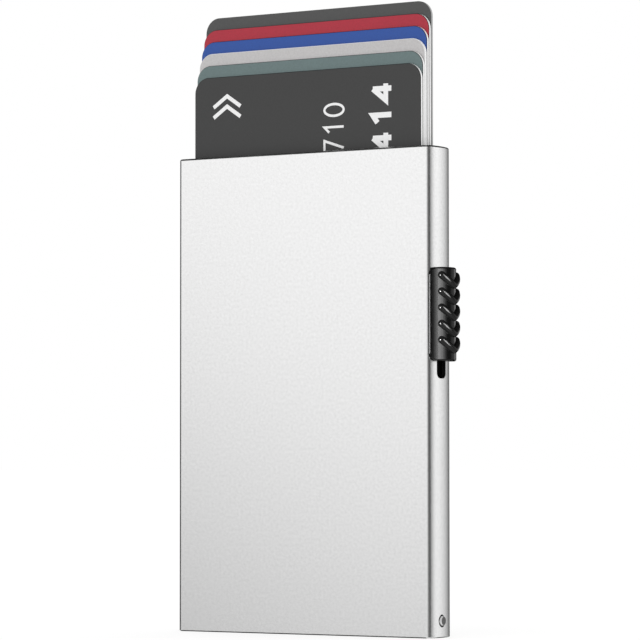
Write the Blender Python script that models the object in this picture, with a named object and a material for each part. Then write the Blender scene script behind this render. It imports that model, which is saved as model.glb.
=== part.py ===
"""A slim metal card holder whose side slider pushes six cards out of the top as a fan.

The holder stands on its base: +Z is up, the front face looks along -Y, and the thumb slider is on the
+X side. The origin is the middle of the base. It is drawn with the slider up and the cards fanned out.
Sizes are worked out from the inside outwards, from the cards that it carries.
"""

import math

import bmesh
import bpy

MM = 0.001
DEGREE = math.pi / 180
HALF_TURN = math.pi
QUARTER_TURN = HALF_TURN / 2

# Cards
CARD_COUNT = 6
CARD_WIDTH = 53.98 * MM
CARD_HEIGHT = 85.6 * MM
CARD_THICKNESS = 0.76 * MM
CARD_CORNER_RADIUS = 3.18 * MM
CARD_GAP = 0.04 * MM
FRONT_CARD_LIFT = 16.85 * MM
LIFT_STEP = 2.55 * MM

# Clearances
RUNNING_GAP = 0.3 * MM
SLIDING_GAP = 0.22 * MM
SEAT_GAP = 0.05 * MM
BLADE_WALL_GAP = 0.3 * MM
HOLE_GAP = 0.1 * MM
CUT_OVERRUN = 1.0 * MM

# Housing
WALL = 0.85 * MM
CORNER_RADIUS = 0.6 * MM
SIDE_BULGE = 0.42 * MM
MOUTH_ABOVE_CARDS = 0.32 * MM
RIM_CHAMFER = 0.4 * MM
MOUTH_CHAMFER = 0.3 * MM

# Slider and its slot
SLIDER_TRAVEL = 14.0 * MM
SLOT_WIDTH = 3.4 * MM
NECK_LENGTH = 5.2 * MM
NECK_CORNER_RADIUS = 1.1 * MM
COVER_BELOW_NECK = 11.0 * MM
COVER_ABOVE_NECK = 2.2 * MM
COVER_RADIUS = 3.9 * MM
COVER_RISE = 2.73 * MM
COVER_END_ROUND = 0.4 * MM
COVER_LIFT_OFF = 0.25 * MM
FLANGE_WIDTH = 8.2 * MM
FLANGE_THICKNESS = 0.45 * MM
FLANGE_CORNER_RADIUS = 1.3 * MM

# Ribs of the slider
RIB_COUNT = 5
RIB_PITCH = 3.17 * MM
RIB_RADIUS = 0.75 * MM
RIB_PROUD = 0.78 * MM
RIB_DROP = 1.9 * MM
RIB_TOP_MARGIN = 1.6 * MM
RIB_HALF_ANGLE = 44 * DEGREE
RIB_POINT_SHARE = 0.12
RIB_CAP_SHARE = 0.93

# Push bar, which the slider carries inside
STRIP_THICKNESS = 1.35 * MM
STRIP_SIDE_LAP = 0.7 * MM
STRIP_TOP_LAP = 1.0 * MM
BLADE_THICKNESS = 0.45 * MM
BLADE_HEIGHT = 4.0 * MM
DRIVE_PIN_RADIUS = 0.55 * MM
DRIVE_PIN_RISE = 1.0 * MM
DRIVE_GROOVE_GAP = 0.2 * MM
DRIVE_GROOVE_DEPTH = 1.2 * MM
LUG_WIDTH = 3.0 * MM
LUG_BELOW_PIN = 1.5 * MM

# Slider screws
SCREW_SPACING = 2.6 * MM
SCREW_SHANK_RADIUS = 0.45 * MM
SCREW_HEAD_RADIUS = 0.8 * MM
SCREW_HEAD_HEIGHT = 0.45 * MM
SCREW_REACH = 1.5 * MM

# Fan lever
HUB_WALL = 1.3 * MM
LOBE_RISE = 3.1 * MM
LOBE_SIDE_GAP = 0.03 * MM
LOBE_TIP_THICKNESS = 1.4 * MM
LOBE_ROOT_SHARE = 0.8
PIVOT_PIN_RADIUS = 0.8 * MM

# Base plug
PLUG_FLOOR = 1.63 * MM
FLOOR_GAP = 0.5 * MM
BLOCK_THICKNESS = 2.25 * MM
SIDE_PIN_RADIUS = 1.0 * MM
SIDE_PIN_HEIGHT = 3.3 * MM
SIDE_PIN_HOLE_GAP = 0.25 * MM
SIDE_PIN_PROUD = 0.15 * MM
SIDE_PIN_CHAMFER = 0.12 * MM
SIDE_PIN_END_WALL = 0.6 * MM

# Felts and rails
FELT_CARD_GAP = 0.15 * MM
FELT_SIDE_MARGIN = 7.0 * MM
FELT_ABOVE_BLADE = 3.0 * MM
MOUTH_MARGIN = 2.5 * MM
RIGHT_RAIL_LENGTH = 8.02 * MM

# Facets of round shapes
CORNER_STEPS = 6
SIDE_STEPS = 14
ROUND_STEPS = 24
LOBE_STEPS = 14
RIB_STEPS = 14
RIB_SIDES = 8
RIB_CAP_STEPS = 3
SMOOTH_ANGLE = 35 * DEGREE

# Across the depth, from the card stack out to the housing
CARD_PITCH = CARD_THICKNESS + CARD_GAP
STACK_HALF_DEPTH = (CARD_COUNT * CARD_PITCH - CARD_GAP) / 2
BLADE_FRONT = STACK_HALF_DEPTH + SLIDING_GAP
BLADE_BACK = BLADE_FRONT + BLADE_THICKNESS
INNER_HALF_DEPTH = BLADE_BACK + BLADE_WALL_GAP
HOLDER_DEPTH = 2 * (INNER_HALF_DEPTH + WALL)
EAR_OUTSIDE = INNER_HALF_DEPTH - RUNNING_GAP
FELT_THICKNESS = INNER_HALF_DEPTH - SEAT_GAP - FELT_CARD_GAP - STACK_HALF_DEPTH

# Across the width, from the cards out to the housing
STRIP_INSIDE = CARD_WIDTH / 2 + RUNNING_GAP
STRIP_OUTSIDE = STRIP_INSIDE + STRIP_THICKNESS
INNER_CORNER_X = STRIP_OUTSIDE + RUNNING_GAP
HOLDER_WIDTH = 2 * (INNER_CORNER_X + WALL + SIDE_BULGE)
BLOCK_OUTSIDE = INNER_CORNER_X - RUNNING_GAP
BLOCK_INSIDE = BLOCK_OUTSIDE - BLOCK_THICKNESS
HUB_RADIUS = PIVOT_PIN_RADIUS + HOLE_GAP + HUB_WALL
PIVOT_X = BLOCK_INSIDE - RUNNING_GAP - HUB_RADIUS

# The side walls bulge along an arc that runs into the corner arcs
SIDE_HALF_WIDTH = HOLDER_WIDTH / 2 - CORNER_RADIUS
CORNER_CENTRE_X = SIDE_HALF_WIDTH - SIDE_BULGE
CORNER_CENTRE_Y = HOLDER_DEPTH / 2 - CORNER_RADIUS
SIDE_CENTRE_X = (SIDE_HALF_WIDTH**2 - CORNER_CENTRE_X**2 - CORNER_CENTRE_Y**2) / (
    2 * SIDE_BULGE
)
SIDE_RADIUS = HOLDER_WIDTH / 2 - SIDE_CENTRE_X

# The lever's longest lobe just clears the far block, which sets how far it has to swing
CARD_LIFTS = [FRONT_CARD_LIFT + index * LIFT_STEP for index in range(CARD_COUNT)]
REAR_CARD_LIFT = CARD_LIFTS[-1]
LEVER_REACH = PIVOT_X + BLOCK_INSIDE - RUNNING_GAP
LEVER_SWING = REAR_CARD_LIFT / math.sqrt(
    LEVER_REACH**2 - (LOBE_RISE + REAR_CARD_LIFT) ** 2
)

# The drive pin stands this far from the pivot, so that equal travel gives equal swing
DRIVE_PIN_OFFSET = SLIDER_TRAVEL / LEVER_SWING

# Up the height, from the base to the mouth
TIP_DROP = REAR_CARD_LIFT / LEVER_SWING * math.sin(LEVER_SWING) - (
    LOBE_RISE + REAR_CARD_LIFT
) * math.cos(LEVER_SWING)
PIVOT_Z = PLUG_FLOOR + FLOOR_GAP + LOBE_TIP_THICKNESS + TIP_DROP
DRIVE_PIN_X = PIVOT_X - DRIVE_PIN_OFFSET
DRIVE_PIN_Z = PIVOT_Z + DRIVE_PIN_RISE
CARD_BOTTOM_CLOSED = PIVOT_Z + LOBE_RISE + RUNNING_GAP
HOLDER_HEIGHT = CARD_BOTTOM_CLOSED + CARD_HEIGHT + MOUTH_ABOVE_CARDS
EAR_TOP = PIVOT_Z + HUB_RADIUS
BLADE_BOTTOM = EAR_TOP + RUNNING_GAP
BLOCK_TOP = BLADE_BOTTOM - FLOOR_GAP
RAIL_TOP = HOLDER_HEIGHT - MOUTH_MARGIN
STRIP_TOP = RAIL_TOP - RIGHT_RAIL_LENGTH - RUNNING_GAP - SLIDER_TRAVEL
SLOT_TOP_HEIGHT = STRIP_TOP - STRIP_TOP_LAP
SLOT_BOTTOM_HEIGHT = SLOT_TOP_HEIGHT - NECK_LENGTH - SLIDER_TRAVEL - 2 * RUNNING_GAP
FELT_WIDTH = CARD_WIDTH - 2 * FELT_SIDE_MARGIN
FELT_BOTTOM_HEIGHT = BLADE_BOTTOM + BLADE_HEIGHT + SLIDER_TRAVEL + FELT_ABOVE_BLADE
NECK_BOTTOM = SLOT_BOTTOM_HEIGHT + RUNNING_GAP
NECK_TOP = NECK_BOTTOM + NECK_LENGTH
COVER_BOTTOM = NECK_BOTTOM - COVER_BELOW_NECK
COVER_TOP = NECK_TOP + COVER_ABOVE_NECK
DOME_CENTRE_X = HOLDER_WIDTH / 2 + COVER_RISE - COVER_RADIUS
RIB_CENTRE_RADIUS = COVER_RADIUS + RIB_PROUD - RIB_RADIUS


def clear_scene():
    """Empty the file before the model is made."""
    for old in list(bpy.data.objects):
        bpy.data.objects.remove(old, do_unlink=True)
    for old in list(bpy.data.materials):
        bpy.data.materials.remove(old)


def material(name, colour, roughness, metallic=0.0):
    """A Principled material in one colour."""
    finish = bpy.data.materials.new(name)
    finish.use_nodes = True
    shader = finish.node_tree.nodes["Principled BSDF"]
    shader.inputs["Base Color"].default_value = (*colour, 1.0)
    shader.inputs["Roughness"].default_value = roughness
    shader.inputs["Metallic"].default_value = metallic
    finish.diffuse_color = (*colour, 1.0)
    return finish


def object_from(name, build, smooth=True):
    """A named object from a bmesh, its faces turned outwards."""
    bmesh.ops.recalc_face_normals(build, faces=build.faces)
    mesh = bpy.data.meshes.new(name)
    build.to_mesh(mesh)
    build.free()
    if smooth:
        mesh.shade_smooth()
        mesh.set_sharp_from_angle(angle=SMOOTH_ANGLE)
    made_object = bpy.data.objects.new(name, mesh)
    bpy.context.scene.collection.objects.link(made_object)
    return made_object


def node(name, built, finish, parent=None, location=(0, 0, 0)):
    """Finish an object as one of the holder's pieces."""
    built.name = name
    built.data.materials.append(finish)
    built.parent = parent
    built.location = location
    return built


def helper(built, parent=None):
    """Keep an object as a cutter or a part of a union, out of the finished model."""
    built.hide_render = True
    built.display_type = "WIRE"
    built.parent = parent
    return built


def combine(target, other, operation):
    """Add a Boolean that cuts or adds the other object."""
    modifier = target.modifiers.new(operation.title(), "BOOLEAN")
    modifier.operation = operation
    modifier.solver = "EXACT"
    modifier.object = other


def loft(name, rings, smooth=True):
    """A closed solid through rings that have the same number of points."""
    build = bmesh.new()
    rows = [[build.verts.new(point) for point in ring] for ring in rings]
    for low, high in zip(rows, rows[1:]):
        for index in range(len(low)):
            after = (index + 1) % len(low)
            build.faces.new((low[index], low[after], high[after], high[index]))
    build.faces.new(list(reversed(rows[0])))
    build.faces.new(rows[-1])
    return object_from(name, build, smooth)


def prism(name, outline, start, end, axis, smooth=True):
    """An outline pushed along X, Y or Z. Its two values are the other two axes, in order."""
    places = {
        "X": lambda a, b, along: (along, a, b),
        "Y": lambda a, b, along: (a, along, b),
        "Z": lambda a, b, along: (a, b, along),
    }
    place = places[axis]
    rings = [[place(a, b, along) for a, b in outline] for along in (start, end)]
    return loft(name, rings, smooth)


def box(name, low, high):
    """A block between two corners."""
    outline = [(low[0], low[1]), (high[0], low[1]), (high[0], high[1]), (low[0], high[1])]
    return prism(name, outline, low[2], high[2], "Z", smooth=False)


def arc(centre, radius, start, end, steps):
    """Points along an arc, both ends included."""
    angles = [start + (end - start) * index / steps for index in range(steps + 1)]
    return [
        (centre[0] + radius * math.cos(angle), centre[1] + radius * math.sin(angle))
        for angle in angles
    ]


def circle(centre, radius, steps=ROUND_STEPS):
    """Points round a full circle."""
    return arc(centre, radius, 0, 2 * HALF_TURN, steps)[:-1]


def rounded_rectangle(left, low, right, high, radius):
    """A rectangle with four round corners."""
    corners = [
        (right - radius, low + radius, -QUARTER_TURN),
        (right - radius, high - radius, 0),
        (left + radius, high - radius, QUARTER_TURN),
        (left + radius, low + radius, HALF_TURN),
    ]
    points = []
    for x, y, start in corners:
        points += arc((x, y), radius, start, start + QUARTER_TURN, CORNER_STEPS)
    return points


def section(inset):
    """The housing's outer section seen from above, drawn in by the inset."""
    radius = CORNER_RADIUS - inset
    side_angle = math.asin(CORNER_CENTRE_Y / (SIDE_RADIUS - CORNER_RADIUS))
    front = arc(
        (CORNER_CENTRE_X, -CORNER_CENTRE_Y),
        radius,
        -QUARTER_TURN,
        -side_angle,
        CORNER_STEPS,
    )
    side = arc(
        (SIDE_CENTRE_X, 0), SIDE_RADIUS - inset, -side_angle, side_angle, SIDE_STEPS
    )
    back = arc(
        (CORNER_CENTRE_X, CORNER_CENTRE_Y),
        radius,
        side_angle,
        QUARTER_TURN,
        CORNER_STEPS,
    )
    right_half = front + side[1:-1] + back
    return right_half + [(-x, -y) for x, y in right_half]


def side_face_x(y, inset=0.0):
    """How far out the side wall lies at this place across the depth, drawn in by the inset."""
    return SIDE_CENTRE_X + math.sqrt((SIDE_RADIUS - inset) ** 2 - y**2)


def side_arc(inset, half_depth):
    """Points along the side wall's arc between two places across the depth."""
    places = [half_depth * (2 * index / SIDE_STEPS - 1) for index in range(SIDE_STEPS + 1)]
    return [(side_face_x(y, inset), y) for y in places]


def hollow_section(inset):
    """The section of the housing's hollow, with square corners."""
    right_half = side_arc(inset, HOLDER_DEPTH / 2 - inset)
    return right_half + [(-x, -y) for x, y in right_half]


def ring_at(outline, height):
    """An outline as points at one height."""
    return [(x, y, height) for x, y in outline]


def make_housing(metal):
    """The extruded tube: open at both ends, with the slider's slot and two pin holes."""
    outside = [
        ring_at(section(RIM_CHAMFER), 0),
        ring_at(section(0), RIM_CHAMFER),
        ring_at(section(0), HOLDER_HEIGHT - RIM_CHAMFER),
        ring_at(section(RIM_CHAMFER), HOLDER_HEIGHT),
    ]
    housing = node("housing", loft("housing", outside), metal)
    flare = MOUTH_CHAMFER + CUT_OVERRUN
    hollow = [
        ring_at(hollow_section(WALL), -CUT_OVERRUN),
        ring_at(hollow_section(WALL), HOLDER_HEIGHT - MOUTH_CHAMFER),
        ring_at(hollow_section(WALL - flare), HOLDER_HEIGHT + CUT_OVERRUN),
    ]
    combine(housing, helper(loft("cut_hollow", hollow)), "DIFFERENCE")
    slot = rounded_rectangle(
        -SLOT_WIDTH / 2,
        SLOT_BOTTOM_HEIGHT,
        SLOT_WIDTH / 2,
        SLOT_TOP_HEIGHT,
        SLOT_WIDTH / 2,
    )
    inside = INNER_CORNER_X - CUT_OVERRUN
    outside_x = HOLDER_WIDTH / 2 + CUT_OVERRUN
    combine(
        housing,
        helper(prism("cut_slot", slot, inside, outside_x, "X")),
        "DIFFERENCE",
    )
    hole = circle((0, SIDE_PIN_HEIGHT), SIDE_PIN_RADIUS + SIDE_PIN_HOLE_GAP)
    for side, sign in (("right", 1), ("left", -1)):
        cutter = prism(f"cut_pin_{side}", hole, sign * inside, sign * outside_x, "X")
        combine(housing, helper(cutter), "DIFFERENCE")


def make_base_plug(plastic):
    """The plug that closes the bottom: a floor, two end blocks and two ears for the pivot."""
    outline = hollow_section(WALL + RUNNING_GAP)
    floor = prism("base_plug", outline, 0, PLUG_FLOOR, "Z")
    plug = node("base_plug", floor, plastic)
    pin_end = BLOCK_INSIDE + SIDE_PIN_END_WALL
    pin_hole = circle((0, SIDE_PIN_HEIGHT), SIDE_PIN_RADIUS + HOLE_GAP)
    for side, sign in (("right", 1), ("left", -1)):
        low_x, high_x = sorted((sign * BLOCK_INSIDE, sign * BLOCK_OUTSIDE))
        block = box(
            f"block_{side}",
            (low_x, -EAR_OUTSIDE, PLUG_FLOOR / 2),
            (high_x, EAR_OUTSIDE, BLOCK_TOP),
        )
        combine(plug, helper(block), "UNION")
        hole = prism(
            f"cut_block_{side}",
            pin_hole,
            sign * pin_end,
            sign * (BLOCK_OUTSIDE + CUT_OVERRUN),
            "X",
        )
        combine(plug, helper(hole), "DIFFERENCE")
    for side, sign in (("front", -1), ("rear", 1)):
        low_y, high_y = sorted((sign * BLADE_FRONT, sign * EAR_OUTSIDE))
        ear = [
            (PIVOT_X - HUB_RADIUS, PLUG_FLOOR / 2),
            (PIVOT_X + HUB_RADIUS, PLUG_FLOOR / 2),
        ] + arc((PIVOT_X, PIVOT_Z), HUB_RADIUS, 0, HALF_TURN, ROUND_STEPS // 2)
        combine(plug, helper(prism(f"ear_{side}", ear, low_y, high_y, "Y")), "UNION")
    bore = circle((PIVOT_X, PIVOT_Z), PIVOT_PIN_RADIUS + HOLE_GAP)
    reach = EAR_OUTSIDE + CUT_OVERRUN
    combine(plug, helper(prism("cut_ears", bore, -reach, reach, "Y")), "DIFFERENCE")


def make_pins(steel):
    """The lever's pivot pin, and the two pins that hold the plug in the housing."""
    pivot = circle((0, 0), PIVOT_PIN_RADIUS)
    built = prism("pivot_pin", pivot, -EAR_OUTSIDE, EAR_OUTSIDE, "Y")
    node("pivot_pin", built, steel, location=(PIVOT_X, 0, PIVOT_Z))
    start = BLOCK_INSIDE + SIDE_PIN_END_WALL + HOLE_GAP
    head = side_face_x(SIDE_PIN_RADIUS) + SIDE_PIN_PROUD
    for side, sign in (("right", 1), ("left", -1)):
        rings = [
            [(sign * x, y, z) for y, z in circle((0, 0), radius)]
            for x, radius in (
                (start, SIDE_PIN_RADIUS),
                (head - SIDE_PIN_CHAMFER, SIDE_PIN_RADIUS),
                (head, SIDE_PIN_RADIUS - SIDE_PIN_CHAMFER),
            )
        ]
        built = loft(f"side_pin_{side}", rings)
        node(f"side_pin_{side}", built, steel, location=(0, 0, SIDE_PIN_HEIGHT))


def lobe_outline(lift):
    """One lobe of the lever, lever down, as places to the left of the pivot and above it.

    Its top is an involute, so that the flat lower edge of a card rises in step with the swing.
    """
    base_radius = lift / LEVER_SWING
    top = []
    for index in range(LOBE_STEPS + 1):
        turn = LEVER_SWING * index / LOBE_STEPS
        rise = LOBE_RISE + base_radius * turn
        left = base_radius * math.cos(turn) + rise * math.sin(turn)
        up = rise * math.cos(turn) - base_radius * math.sin(turn)
        top.append((left, up))
    tip_left, tip_up = top[-1]
    underside = (tip_left - LOBE_TIP_THICKNESS / 2, tip_up - LOBE_TIP_THICKNESS)
    share = lift / REAR_CARD_LIFT
    upper_root = (0, HUB_RADIUS * (LOBE_ROOT_SHARE + (1 - LOBE_ROOT_SHARE) * share / 2))
    lower_root = (0, -HUB_RADIUS * LOBE_ROOT_SHARE * share)
    return [underside] + list(reversed(top)) + [upper_root, lower_root]


def drive_groove_outline():
    """The groove that the drive pin runs in, lever down, as places left of the pivot and above it.

    It is an involute too, so that the lever swings in step with the slider.
    """
    half_width = DRIVE_PIN_RADIUS + DRIVE_GROOVE_GAP
    middle = []
    upper = []
    lower = []
    for index in range(LOBE_STEPS + 1):
        turn = LEVER_SWING * index / LOBE_STEPS
        height = DRIVE_PIN_RISE + SLIDER_TRAVEL * index / LOBE_STEPS
        left = DRIVE_PIN_OFFSET * math.cos(turn) + height * math.sin(turn)
        up = height * math.cos(turn) - DRIVE_PIN_OFFSET * math.sin(turn)
        across = (half_width * math.sin(turn), half_width * math.cos(turn))
        middle.append((left, up))
        upper.append((left + across[0], up + across[1]))
        lower.append((left - across[0], up - across[1]))
    far_start = -LEVER_SWING - QUARTER_TURN
    far_end = -LEVER_SWING + QUARTER_TURN
    far = arc(middle[-1], half_width, far_start, far_end, CORNER_STEPS)
    near = arc(middle[0], half_width, QUARTER_TURN, 3 * QUARTER_TURN, CORNER_STEPS)
    return lower[:-1] + far + list(reversed(upper[1:-1])) + near[:-1]


def settle(target):
    """Make the object's Booleans its own mesh, before it is turned to its place."""
    graph = bpy.context.evaluated_depsgraph_get()
    mesh = bpy.data.meshes.new_from_object(target.evaluated_get(graph))
    mesh.set_sharp_from_angle(angle=SMOOTH_ANGLE)
    used = [modifier.object for modifier in target.modifiers]
    target.modifiers.clear()
    target.data = mesh
    for other in used:
        bpy.data.objects.remove(other, do_unlink=True)


def make_fan_lever(plastic):
    """The lever with one stepped lobe under each card. Its origin is on the pivot."""
    half_depth = STACK_HALF_DEPTH - LOBE_SIDE_GAP
    hub = prism("hub", circle((0, 0), HUB_RADIUS), -half_depth, half_depth, "Y")
    lever = node("fan_lever", hub, plastic)
    for index, lift in enumerate(CARD_LIFTS):
        front = -STACK_HALF_DEPTH + index * CARD_PITCH + LOBE_SIDE_GAP
        back = min(front + CARD_PITCH + CARD_THICKNESS / 2, half_depth)
        outline = [(-left, up) for left, up in lobe_outline(lift)]
        lobe = prism(f"lobe_{index + 1}", outline, front, back, "Y")
        combine(lever, helper(lobe), "UNION")
    reach = STACK_HALF_DEPTH + CUT_OVERRUN
    groove_outline = [(-left, up) for left, up in drive_groove_outline()]
    groove_start = half_depth - DRIVE_GROOVE_DEPTH
    groove = prism("cut_groove", groove_outline, groove_start, reach, "Y")
    combine(lever, helper(groove), "DIFFERENCE")
    bore = circle((0, 0), PIVOT_PIN_RADIUS + HOLE_GAP)
    combine(lever, helper(prism("cut_hub", bore, -reach, reach, "Y")), "DIFFERENCE")
    settle(lever)
    lever.location = (PIVOT_X, 0, PIVOT_Z)
    lever.rotation_euler = (0, LEVER_SWING, 0)


def make_push_bar(steel, carriage):
    """The strip behind the slot, the blade behind the cards and the lug for the drive pin."""
    strip_half_depth = SLOT_WIDTH / 2 + STRIP_SIDE_LAP
    strip = box(
        "push_bar",
        (STRIP_INSIDE, -strip_half_depth, BLADE_BOTTOM),
        (STRIP_OUTSIDE, strip_half_depth, STRIP_TOP),
    )
    push_bar = node("push_bar", strip, steel, parent=carriage)
    blade_top = BLADE_BOTTOM + BLADE_HEIGHT
    link = box(
        "link",
        (STRIP_INSIDE, 0, BLADE_BOTTOM),
        (STRIP_OUTSIDE, BLADE_BACK, blade_top),
    )
    blade = box(
        "blade",
        (DRIVE_PIN_X - LUG_WIDTH / 2, BLADE_FRONT, BLADE_BOTTOM),
        (STRIP_OUTSIDE, BLADE_BACK, blade_top),
    )
    pin_place = (DRIVE_PIN_X, DRIVE_PIN_Z)
    lug_round = arc(pin_place, LUG_BELOW_PIN, HALF_TURN, 2 * HALF_TURN, ROUND_STEPS // 2)
    lug_top = BLADE_BOTTOM + BLADE_HEIGHT / 2
    lug_outline = lug_round + [
        (DRIVE_PIN_X + LUG_WIDTH / 2, lug_top),
        (DRIVE_PIN_X - LUG_WIDTH / 2, lug_top),
    ]
    lug = prism("lug", lug_outline, BLADE_FRONT, BLADE_BACK, "Y")
    for added in (link, blade, lug):
        combine(push_bar, helper(added, parent=carriage), "UNION")
    hole = circle(pin_place, DRIVE_PIN_RADIUS + SEAT_GAP)
    reach = BLADE_BACK + CUT_OVERRUN
    pin_hole = helper(prism("cut_lug", hole, 0, reach, "Y"), parent=carriage)
    combine(push_bar, pin_hole, "DIFFERENCE")
    sink = STRIP_INSIDE + SCREW_HEAD_HEIGHT + SEAT_GAP
    for name, height in screw_heights():
        clearance = circle((0, height), SCREW_SHANK_RADIUS + HOLE_GAP)
        recess = circle((0, height), SCREW_HEAD_RADIUS + HOLE_GAP)
        start = STRIP_INSIDE - CUT_OVERRUN
        end = STRIP_OUTSIDE + CUT_OVERRUN
        through = prism(f"cut_{name}", clearance, start, end, "X")
        sunk = prism(f"sink_{name}", recess, start, sink, "X")
        for cutter in (through, sunk):
            combine(push_bar, helper(cutter, parent=carriage), "DIFFERENCE")


def make_drive_pin(steel, carriage):
    """The pin that reaches from the lug into the lever's groove."""
    outline = circle((0, 0), DRIVE_PIN_RADIUS)
    start = STACK_HALF_DEPTH - LOBE_SIDE_GAP - DRIVE_GROOVE_DEPTH + DRIVE_GROOVE_GAP
    built = prism("drive_pin", outline, start, BLADE_BACK, "Y")
    place = (DRIVE_PIN_X, 0, DRIVE_PIN_Z)
    node("drive_pin", built, steel, parent=carriage, location=place)


def screw_heights():
    """Names and heights of the slider's two screws, slider down."""
    middle = NECK_BOTTOM + NECK_LENGTH / 2
    return [
        ("slider_screw_upper", middle + SCREW_SPACING / 2),
        ("slider_screw_lower", middle - SCREW_SPACING / 2),
    ]


def make_slider_screws(steel, carriage):
    """Two screws from inside the push bar into the slider's neck."""
    under_head = STRIP_INSIDE + SCREW_HEAD_HEIGHT
    end = STRIP_OUTSIDE + SEAT_GAP + SCREW_REACH
    for name, height in screw_heights():
        rings = [
            [(x, y, z) for y, z in circle((0, 0), radius)]
            for x, radius in (
                (STRIP_INSIDE, SCREW_HEAD_RADIUS),
                (under_head, SCREW_HEAD_RADIUS),
                (under_head, SCREW_SHANK_RADIUS),
                (end, SCREW_SHANK_RADIUS),
            )
        ]
        built = loft(name, rings)
        node(name, built, steel, parent=carriage, location=(0, 0, height))


def cover_rings():
    """The slider's round cover, whose two ends are rounded over."""
    steps = CORNER_STEPS
    heights = []
    for index in range(steps + 1):
        turn = QUARTER_TURN * index / steps
        drawn_in = COVER_END_ROUND * (1 - math.sin(turn))
        heights.append((COVER_END_ROUND * (1 - math.cos(turn)), drawn_in))
    low = [(COVER_BOTTOM + offset, drawn_in) for offset, drawn_in in heights]
    high = [(COVER_TOP - offset, drawn_in) for offset, drawn_in in reversed(heights)]
    return [
        ring_at(circle((DOME_CENTRE_X, 0), COVER_RADIUS - drawn_in, 2 * ROUND_STEPS), z)
        for z, drawn_in in low + high
    ]


def rib_stations(tip_height):
    """Places along one V-shaped rib: angle round the cover, height, slope and tube radius."""
    flat = math.hypot(1, RIB_POINT_SHARE) - RIB_POINT_SHARE
    path = []
    for index in range(RIB_STEPS + 1):
        share = 2 * index / RIB_STEPS - 1
        rise = (math.hypot(share, RIB_POINT_SHARE) - RIB_POINT_SHARE) / flat
        path.append((RIB_HALF_ANGLE * share, tip_height - RIB_DROP * (1 - rise)))
    stations = []
    for index, (angle, height) in enumerate(path):
        before = path[max(index - 1, 0)]
        after = path[min(index + 1, RIB_STEPS)]
        slope = math.atan2(after[1] - before[1], RIB_CENTRE_RADIUS * (after[0] - before[0]))
        stations.append((angle, height, slope, RIB_RADIUS))
    start_cap = rib_cap(stations[0], -1)
    end_cap = rib_cap(stations[-1], 1)
    return list(reversed(start_cap)) + stations + end_cap


def rib_cap(station, sign):
    """The stations that round off one end of a rib."""
    angle, height, slope, radius = station
    cap = []
    for step in range(1, RIB_CAP_STEPS + 1):
        turn = QUARTER_TURN * RIB_CAP_SHARE * step / RIB_CAP_STEPS
        reach = sign * radius * math.sin(turn)
        cap.append(
            (
                angle + reach * math.cos(slope) / RIB_CENTRE_RADIUS,
                height + reach * math.sin(slope),
                slope,
                radius * math.cos(turn),
            )
        )
    return cap


def rib_rings(tip_height):
    """One V-shaped rib as a tube that goes round the cover, its point down."""
    rings = []
    for angle, height, slope, radius in rib_stations(tip_height):
        ring = []
        for side in range(RIB_SIDES):
            turn = 2 * HALF_TURN * side / RIB_SIDES
            up = radius * math.sin(turn)
            swing = angle - up * math.sin(slope) / RIB_CENTRE_RADIUS
            reach = RIB_CENTRE_RADIUS + radius * math.cos(turn)
            ring.append(
                (
                    DOME_CENTRE_X + reach * math.cos(swing),
                    reach * math.sin(swing),
                    height + up * math.cos(slope),
                )
            )
        rings.append(ring)
    return rings


def make_slider_button(plastic, carriage):
    """The thumb slider: a round ribbed cover on a thin flange, and the neck through the slot."""
    button = node("slider_button", loft("slider_button", cover_rings()), plastic)
    button.parent = carriage
    under = SIDE_RADIUS + COVER_LIFT_OFF
    low, high = COVER_BOTTOM - CUT_OVERRUN, COVER_TOP + CUT_OVERRUN
    rectangle = rounded_rectangle(
        -FLANGE_WIDTH / 2, COVER_BOTTOM, FLANGE_WIDTH / 2, COVER_TOP, FLANGE_CORNER_RADIUS
    )
    flange_end = HOLDER_WIDTH / 2 + 2 * COVER_RISE
    corners = prism("cover_corners", rectangle, INNER_CORNER_X, flange_end, "X")
    combine(button, helper(corners, parent=carriage), "INTERSECT")
    flange = prism("flange", rectangle, INNER_CORNER_X, flange_end, "X")
    round_steps = 4 * ROUND_STEPS
    flange_round = circle((SIDE_CENTRE_X, 0), under + FLANGE_THICKNESS, round_steps)
    limit = prism("flange_limit", flange_round, low, high, "Z")
    combine(flange, helper(limit, parent=carriage), "INTERSECT")
    combine(button, helper(flange, parent=carriage), "UNION")
    underside = prism(
        "cut_underside", circle((SIDE_CENTRE_X, 0), under, round_steps), low, high, "Z"
    )
    combine(button, helper(underside, parent=carriage), "DIFFERENCE")
    half_neck = SLOT_WIDTH / 2 - RUNNING_GAP
    neck_outline = rounded_rectangle(
        -half_neck, NECK_BOTTOM, half_neck, NECK_TOP, NECK_CORNER_RADIUS
    )
    neck_start = STRIP_OUTSIDE + SEAT_GAP
    neck_end = HOLDER_WIDTH / 2 + COVER_RISE / 2
    neck = prism("neck", neck_outline, neck_start, neck_end, "X")
    combine(button, helper(neck, parent=carriage), "UNION")
    for index in range(RIB_COUNT):
        tip_height = COVER_TOP - RIB_TOP_MARGIN - index * RIB_PITCH
        rib = loft(f"rib_{index + 1}", rib_rings(tip_height))
        combine(button, helper(rib, parent=carriage), "UNION")
    hole_end = neck_start + SCREW_REACH + HOLE_GAP
    for name, height in screw_heights():
        hole = circle((0, height), SCREW_SHANK_RADIUS + HOLE_GAP)
        cutter = prism(f"bore_{name}", hole, neck_start - CUT_OVERRUN, hole_end, "X")
        combine(button, helper(cutter, parent=carriage), "DIFFERENCE")


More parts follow.
